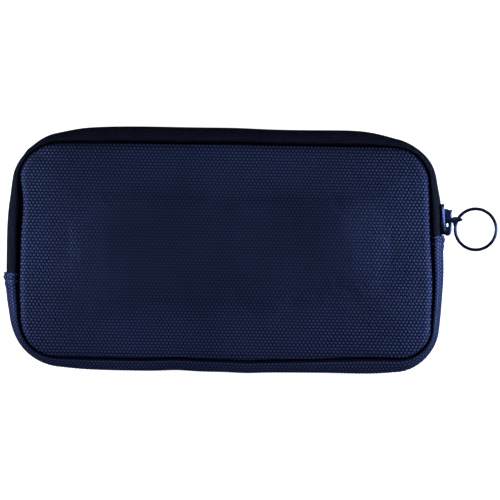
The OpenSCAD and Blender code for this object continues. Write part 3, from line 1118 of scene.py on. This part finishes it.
def roundCorners(outline, radius, steps=5):
    rounded = []
    for k, corner in enumerate(outline):
        before, after = np.array(outline[k - 1]), np.array(outline[(k + 1) % len(outline)])
        corner = np.array(corner)
        reach = min(radius, np.linalg.norm(before - corner) * 0.45, np.linalg.norm(after - corner) * 0.45)
        first = corner + (before - corner) / np.linalg.norm(before - corner) * reach
        last = corner + (after - corner) / np.linalg.norm(after - corner) * reach
        for t in np.linspace(0, 1, steps):
            rounded.append(tuple((1 - t) ** 2 * first + 2 * t * (1 - t) * corner + t ** 2 * last))
    return rounded


def finishCasting(name, shape, edge, body, node):
    bmesh.ops.recalc_face_normals(shape, faces=shape.faces)
    made = softened(name, shape, metalCoat, edge, 3, 28, 55)
    attach(made, "coated_metal", body, node)


# measured from the slider's lower inner corner, x outwards and y up the chain
casting = {
    "plate": 0.0012, "innerPlate": 0.0008, "innerShort": 0.002, "taper": 0.0009, "corner": 0.002,
    "flange": 0.0009, "flangeDeep": 0.0012, "flangeInset": 0.0025,
    "post": 0.0012, "postLong": 0.004, "postFoot": 0.0006,
    "lipFrom": 0.003, "lipTo": 0.009, "lipRound": 0.0021, "crownRound": 0.0012, "windowRound": 0.0008,
    "crownHalf": 0.0012, "edge": 0.00012, "slopeWide": 0.00062, "slopeDrop": 0.00047, "lipDrop": 0.0009,
    "crown": [(0.0069, 0.0133), (0.0085, 0.0136), (0.0101, 0.0128), (0.0116, 0.0133), (0.0115, 0.0120),
              (0.0112, 0.0092), (0.0114, 0.0072), (0.0114, 0.0020), (0.0108, 0.0002), (0.0096, -0.0007),
              (0.0083, -0.0004), (0.0069, 0.0010)],
    "window": [(0.0085, 0.0058), (0.0096, 0.0061), (0.0097, 0.0044), (0.0092, 0.0040), (0.0086, 0.0043)],
}


def slopeEdges(shape, start, outline, low, high):
    # the flat faces of a plate lie inside its outline, so that a slope runs round both of them
    points = np.array(outline)
    inwards = outwardOf(points)
    for side, level in ((-1, low + casting["slopeDrop"]), (1, high - casting["slopeDrop"])):
        shape.verts.ensure_lookup_table()
        corners = shape.verts[start:]
        own = set(corners)
        joined = [part for kind in (shape.edges, shape.faces) for part in kind if part.verts[0] in own]
        bmesh.ops.bisect_plane(shape, geom=corners + joined, dist=0.000001,
                               plane_co=(0, 0, level), plane_no=(0, 0, 1))
        shape.verts.ensure_lookup_table()
        for vertex in shape.verts[start:]:
            if (vertex.co.z - level) * side > 0.0001:
                gap = np.linalg.norm(points - (vertex.co.x, vertex.co.y), axis=1)
                if gap.min() < 0.00001:
                    shift = inwards[gap.argmin()] * casting["slopeWide"]
                    vertex.co.x += shift[0]
                    vertex.co.y += shift[1]


def makeSlider():
    low, high = sliderLow, sliderHigh
    plate, flange, corner = casting["plate"], casting["flange"], casting["corner"]
    halfDeep = (high.z - low.z) / 2
    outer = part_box("strip_hem_right")[1].x - plate
    shape = bmesh.new()
    inner = roundCorners(rectangle(low.y, low.z, high.y - casting["innerShort"], high.z), corner)
    cutPlate(shape, [inner], low.x, low.x + casting["innerPlate"], True)
    start = len(shape.verts)
    face = roundCorners(rectangle(low.y, low.z, high.y, high.z), corner)
    cutPlate(shape, [face], outer, outer + plate, True)
    shape.verts.ensure_lookup_table()
    for vertex in shape.verts[start:]:
        if vertex.co.x > outer + plate / 2:
            # the outer face stands out further towards the puller end, and its lips slope at the other
            vertex.co.x += casting["taper"] * (high.y - vertex.co.y) / (high.y - low.y)
            side = math.copysign(1, vertex.co.z - midZ)
            drop = smoothStep(vertex.co.y, low.y + casting["lipFrom"], low.y + casting["lipTo"])
            drop *= smoothStep(abs(vertex.co.z - midZ), halfDeep - casting["lipRound"], halfDeep)
            vertex.co.z -= side * drop * casting["lipDrop"]
    for side in (-1, 1):
        near, far = sorted((midZ + side * (halfDeep - flange), midZ + side * halfDeep))
        ledge = rectangle(low.y + casting["flangeInset"], near, high.y - casting["flangeInset"], far)
        cutPlate(shape, [ledge], low.x + plate / 2, low.x + plate + casting["flangeDeep"], True)
    foot = low.y + casting["postFoot"]
    post = rectangle(foot, midZ - casting["post"] / 2, foot + casting["postLong"], midZ + casting["post"] / 2)
    cutPlate(shape, [post], low.x + plate / 2, outer + plate / 2, True)
    outline = roundCorners([(low.x + x, low.y + y) for x, y in casting["crown"]], casting["crownRound"])
    window = roundCorners([(low.x + x, low.y + y) for x, y in casting["window"]], casting["windowRound"])
    half = casting["crownHalf"]
    start = len(shape.verts)
    cutPlate(shape, [outline, window], midZ - half, midZ + half, False)
    slopeEdges(shape, start, outline, midZ - half, midZ + half)
    finishCasting("sliderBody", shape, casting["edge"], "slider", "slider")


# the link's two cheeks, measured from the swing axis
link = {
    "cheek": 0.0012, "head": 0.0017, "edge": 0.0002,
    "sunk": 0.0001, "pin": 0.00055, "pinBack": 0.0004, "headBack": 0.0002, "round": 0.0009,
    "outline": [(-0.0004, -0.0017), (0.0018, -0.0012), (0.0028, -0.0019), (0.0029, -0.0031),
                (0.0036, -0.0035), (0.0042, -0.0027), (0.0048, -0.0012), (0.0066, -0.0008),
                (0.0073, -0.0004), (0.0073, 0.0004), (0.0064, 0.0009), (0.0042, 0.0015),
                (0.0029, 0.0015), (0.0018, 0.0008), (-0.0004, 0.0017)],
}


def makeLink():
    low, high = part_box("puller")
    axis = jointPlace["puller_swing"]
    thick, sunk, pin = link["cheek"], link["sunk"], link["pin"]
    shape = bmesh.new()
    cheek = roundCorners([(axis.x + x, axis.y + y) for x, y in link["outline"]], link["round"], 4)
    head = disc(axis.x - link["headBack"], axis.y, link["head"], 28)
    for base in (low.z, high.z - thick):
        cutPlate(shape, [cheek], base, base + thick, False)
        cutPlate(shape, [head], base + sunk, base + thick - sunk, False)
    for x in (axis.x - link["pinBack"], high.x - pin):
        cutPlate(shape, [disc(x, axis.y, pin, 14)], low.z + thick / 2, high.z - thick / 2, False)
    finishCasting("pullerLink", shape, link["edge"], "puller", "puller")


makeSlider()
makeLink()
softCopy("topStop", "top_stop", "case", 0.0002, metalCoat, "coated_metal")
softCopy("bottomStop", "bottom_stop", "case", 0.0002, metalCoat, "coated_metal")


# the pull ring

ringSize = {"around": 128, "across": 18, "joint": 0.00006}


def pullRing():
    low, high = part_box("pull_ring")
    centre = (low + high) / 2
    wire = (high.z - low.z) / 2
    radius = (high.x - low.x) / 2 - wire
    turn = np.linspace(0, 2 * math.pi, ringSize["around"], endpoint=False)
    section = np.linspace(0, 2 * math.pi, ringSize["across"], endpoint=False)
    a, b = np.meshgrid(turn, section, indexing="ij")
    pinch = ringSize["joint"] * np.exp(-((a - math.radians(200)) / 0.03) ** 2)
    out = radius + (wire - pinch) * np.cos(b)
    height = (wire - pinch) * np.sin(b)
    points = np.stack([centre.x + out * np.cos(a), centre.y + out * np.sin(a), centre.z + height], -1)
    index = np.arange(a.size).reshape(a.shape)
    right, up = np.roll(index, -1, 0), np.roll(index, -1, 1)
    corner = np.roll(up, -1, 0)
    faces = np.stack([index.ravel(), right.ravel(), corner.ravel(), up.ravel()], 1)
    return makeMesh("ringWire", points.reshape(-1, 3), faces, metalCoat)


ringWire = pullRing()
attach(ringWire, "coated_metal", "ring", "pull_ring")
print("metal parts")


# pockets inside the back half

pocket = {"spacing": 0.0025, "thick": 0.0005, "hem": 0.006, "hemRise": 0.00035, "wave": 0.0004,
          "ease": 0.009, "droop": 0.0006, "cardEase": 0.004, "cardDroop": 0.0002,
          "hemStep": 0.0004, "hemRow": 0.0012, "sewnIn": 0.002}


def swell(distance, ease):
    return np.sin(np.clip(distance / ease, 0, 1) * math.pi / 2)


def pocketSheet(name, node, base, ease, droop):
    # a sheet sewn down along its sides and bottom, its open mouth at the top with a turned hem
    low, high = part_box(node)
    columns = int((high.x - low.x) / pocket["spacing"]) + 1
    rows = int((high.y - low.y) / pocket["spacing"]) + 1
    x = np.linspace(low.x, high.x, columns)
    hem = high.y - pocket["hem"]
    y = np.r_[np.linspace(low.y, hem, rows), hem + pocket["hemStep"],
              np.linspace(hem + pocket["hemRow"], high.y, 5)]
    gx, gy = np.meshgrid(x, y)
    toSide = np.minimum(gx - low.x, high.x - gx)
    toBottom = gy - low.y
    rise = swell(toSide, ease) * swell(toBottom, ease)
    full = high.z - pocket["hemRise"] - 0.0002 - base
    slack = (np.sin(gx * 95 + 1.3) * np.sin(gy * 130 + gx * 30) - 0.4) * pocket["wave"]
    mouth = smoothStep(gy, high.y - 0.02, high.y)
    sag = np.sin(np.clip(toSide / (high.x - low.x), 0, 1) * math.pi)
    height = base + (full + slack) * rise - droop * mouth * sag
    height += pocket["hemRise"] * smoothStep(gy, hem, hem + pocket["hemStep"])
    points = np.stack([gx, gy, height], -1).reshape(-1, 3)
    made = makeMesh(name, points, gridFaces(len(y), columns), liningCloth)
    addMap(made, points[:, :2])
    thicken(made, pocket["thick"])
    attach(made, "lining", "case", node)
    across = np.argmin(abs(y - (hem + pocket["hemRow"])))
    bottomRow = np.argmin(abs(y - (low.y + pocket["sewnIn"])))
    grid = points.reshape(len(y), columns, 3) + (0, 0, 0.0001)
    edge = max(1, int(pocket["sewnIn"] / pocket["spacing"]))
    rowsSewn = [grid[across], grid[bottomRow], grid[bottomRow:, edge], grid[bottomRow:, -1 - edge]]
    sewn = growRow(name + "Stitches", stitchTree, rowsSewn, stitch)
    attach(sewn, "lining", "case")


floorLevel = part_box("back_lining")[1].z
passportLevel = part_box("passport_pocket")[0].z
pocketSheet("documentPocket", "document_pocket", floorLevel + 0.0007, pocket["ease"], pocket["droop"])
pocketSheet("passportPocket", "passport_pocket", passportLevel + 0.0007, pocket["ease"], pocket["droop"])
for name, node in (("cardSlotHigh", "card_slot_high"), ("cardSlotMiddle", "card_slot_middle"),
                   ("cardSlotLow", "card_slot_low")):
    pocketSheet(name, node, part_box(node)[0].z + 0.0003, pocket["cardEase"], pocket["cardDroop"])
binding = softCopy("cardBinding", "card_binding", "case", 0.0004, elasticCloth, "lining")
addMap(binding, np.array([(v.co.x, v.co.y) for v in binding.data.vertices]))


# pen loop

penLoop = {"ribs": 15, "rib": 0.00016, "wall": 0.0009, "flare": 0.0003, "around": 72, "along": 60,
           "mapRadius": 0.0055, "rowHigh": 0.0016, "rowApart": 0.002, "rowInset": 0.0005}


def makePenLoop():
    low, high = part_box("pen_loop")
    radius = (high.y - low.y) / 2 - penLoop["rib"]
    centreY, centreZ = (high.y + low.y) / 2, (high.z + low.z) / 2
    a, x = np.meshgrid(np.linspace(0, 2 * math.pi, penLoop["around"], endpoint=False),
                       np.linspace(low.x, high.x, penLoop["along"]), indexing="ij")
    ribs = penLoop["rib"] * np.cos((x - low.x) / (high.x - low.x) * penLoop["ribs"] * 2 * math.pi)
    flare = penLoop["flare"] * (np.cos((x - low.x) / (high.x - low.x) * 2 * math.pi) - 1)
    out = radius + ribs + flare
    y = centreY + out * np.sin(a)
    z = centreZ + out * np.cos(a)
    z = np.maximum(z, low.z + penLoop["wall"])
    index = np.arange(a.size).reshape(a.shape)
    index = np.vstack([index, index[:1]])
    faces = np.stack([index[:-1, :-1], index[:-1, 1:], index[1:, 1:], index[1:, :-1]], -1).reshape(-1, 4)
    made = makeMesh("penLoop", np.stack([x, y, z], -1).reshape(-1, 3), faces, elasticCloth)
    bm = bmesh.new()
    bm.from_mesh(made.data)
    bmesh.ops.recalc_face_normals(bm, faces=bm.faces)
    bm.to_mesh(made.data)
    bm.free()
    addMap(made, np.stack([x.ravel(), a.ravel() * penLoop["mapRadius"]], 1))
    return thicken(made, penLoop["wall"])


loop = makePenLoop()
attach(loop, "elastic", "case", "pen_loop")
low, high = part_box("pen_loop")
loopRows = []
for way in (-1, 1):
    y = (low.y + high.y) / 2 + way * penLoop["rowApart"]
    sewnAlong = np.linspace(low.x + penLoop["rowInset"], high.x - penLoop["rowInset"], 20)
    loopRows.append(np.array([(x, y, low.z + penLoop["rowHigh"]) for x in sewnAlong]))
loopStitches = growRow("penLoopStitches", stitchTree, loopRows, stitch)
attach(loopStitches, "elastic", "case")
print("pockets and pen loop")
